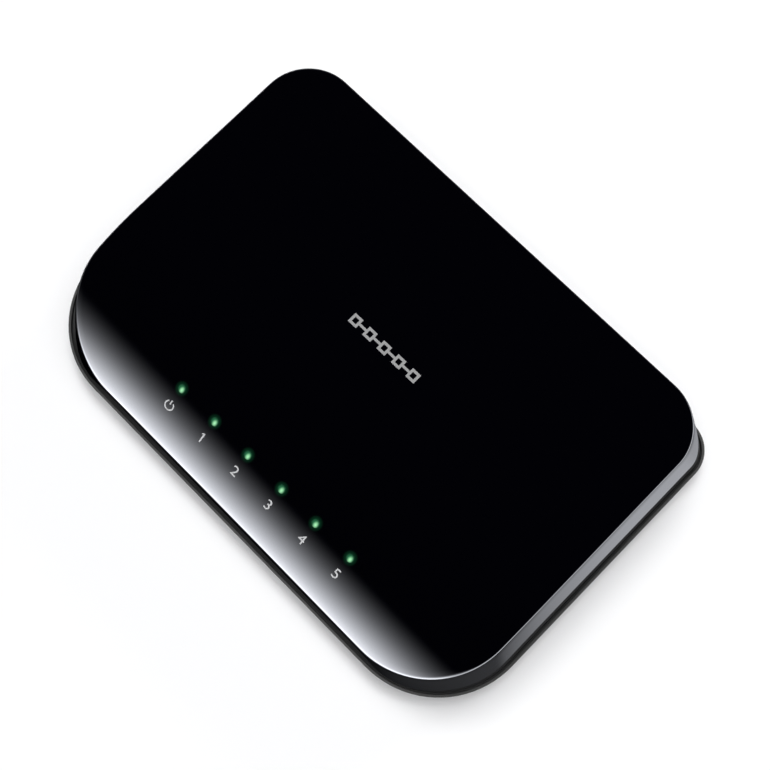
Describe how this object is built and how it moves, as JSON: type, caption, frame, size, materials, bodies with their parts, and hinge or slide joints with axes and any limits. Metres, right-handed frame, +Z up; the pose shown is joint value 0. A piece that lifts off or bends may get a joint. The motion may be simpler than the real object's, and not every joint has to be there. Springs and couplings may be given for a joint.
{
  "type": "desktop network switch",
  "caption": "Low desktop network switch with a gloss black cover that curves down to a front row of green lamps, a matte base tray, and network sockets and a power inlet in its rear panel.",
  "frame": {"origin": "centre of the footprint, on the table under the feet", "axes": "+X along the lamp row, to the right seen from the front; -Y towards the low curved front; +Y towards the rear sockets; +Z up"},
  "size_m": [0.165, 0.111, 0.027],
  "materials": {
    "gloss_cover": "piano black, polished",
    "matte_tray": "fine matte grain",
    "matte_panel": "fine matte grain",
    "clear_guide": "clear moulding, lit green",
    "board_green": "solder mask",
    "screw_steel": "zinc plated",
    "label_blank": "blank silver film",
    "inlet_plastic": "moulded",
    "inlet_plating": "nickel plated",
    "contact_gold": "gold flashed",
    "foot_rubber": "soft",
    "jack_plastic": "moulded",
    "shield_steel": "nickel plated sheet",
    "transformer_case": "epoxy case",
    "chip_case": "epoxy case",
    "sink_aluminium": "extruded, plain",
    "crystal_can": "plated can",
    "capacitor_sleeve": "shrunk sleeve",
    "coil_ferrite": "ferrite",
    "lamp_green": "clear lens"
  },
  "bodies": {
    "switch": {"base_tray": "matte_tray", "board_screws": "screw_steel", "capacitor_1": "capacitor_sleeve", "capacitor_2": "capacitor_sleeve", "case_screws": "screw_steel", "circuit_board": "board_green", "clock_crystal": "crystal_can", "foot_front_left": "foot_rubber", "foot_front_right": "foot_rubber", "foot_rear_left": "foot_rubber", "foot_rear_right": "foot_rubber", "heat_sink": "sink_aluminium", "inlet_body": "inlet_plastic", "inlet_pin": "inlet_plating", "jack_1": "jack_plastic", "jack_2": "jack_plastic", "jack_3": "jack_plastic", "jack_4": "jack_plastic", "jack_5": "jack_plastic", "lamp_1": "lamp_green", "lamp_2": "lamp_green", "lamp_3": "lamp_green", "lamp_4": "lamp_green", "lamp_5": "lamp_green", "lamp_power": "lamp_green", "light_guide": "clear_guide", "memory_chip": "chip_case", "power_coil": "coil_ferrite", "power_regulator": "chip_case", "rating_label": "label_blank", "rear_panel": "matte_panel", "shield_1": "shield_steel", "shield_2": "shield_steel", "shield_3": "shield_steel", "shield_4": "shield_steel", "shield_5": "shield_steel", "switch_chip": "chip_case", "top_cover": "gloss_cover", "transformer_1": "transformer_case", "transformer_2": "transformer_case", "transformer_3": "transformer_case", "transformer_4": "transformer_case", "transformer_5": "transformer_case"},
    "contact_set_1": {"contacts_1": "contact_gold"},
    "contact_set_2": {"contacts_2": "contact_gold"},
    "contact_set_3": {"contacts_3": "contact_gold"},
    "contact_set_4": {"contacts_4": "contact_gold"},
    "contact_set_5": {"contacts_5": "contact_gold"},
    "inlet_leaf": {"inlet_spring": "contact_gold"}
  },
  "joints": [
    {"name": "contacts_1_flex", "type": "hinge", "parent": "switch", "child": "contact_set_1", "pos_m": [-0.0276, 0.0512, 0.0199], "axis": [-1, 0, 0], "range_deg": [0, 9], "stiffness_Nm_per_rad": 0.02},
    {"name": "contacts_2_flex", "type": "hinge", "parent": "switch", "child": "contact_set_2", "pos_m": [-0.009, 0.0512, 0.0199], "axis": [-1, 0, 0], "range_deg": [0, 9], "stiffness_Nm_per_rad": 0.02},
    {"name": "contacts_3_flex", "type": "hinge", "parent": "switch", "child": "contact_set_3", "pos_m": [0.0096, 0.0512, 0.0199], "axis": [-1, 0, 0], "range_deg": [0, 9], "stiffness_Nm_per_rad": 0.02},
    {"name": "contacts_4_flex", "type": "hinge", "parent": "switch", "child": "contact_set_4", "pos_m": [0.0282, 0.0512, 0.0199], "axis": [-1, 0, 0], "range_deg": [0, 9], "stiffness_Nm_per_rad": 0.02},
    {"name": "contacts_5_flex", "type": "hinge", "parent": "switch", "child": "contact_set_5", "pos_m": [0.0468, 0.0512, 0.0199], "axis": [-1, 0, 0], "range_deg": [0, 9], "stiffness_Nm_per_rad": 0.02},
    {"name": "inlet_spring_flex", "type": "hinge", "parent": "switch", "child": "inlet_leaf", "pos_m": [-0.0505, 0.0448, 0.01115], "axis": [-1, 0, 0], "range_deg": [0, 5], "stiffness_Nm_per_rad": 0.02}
  ]
}
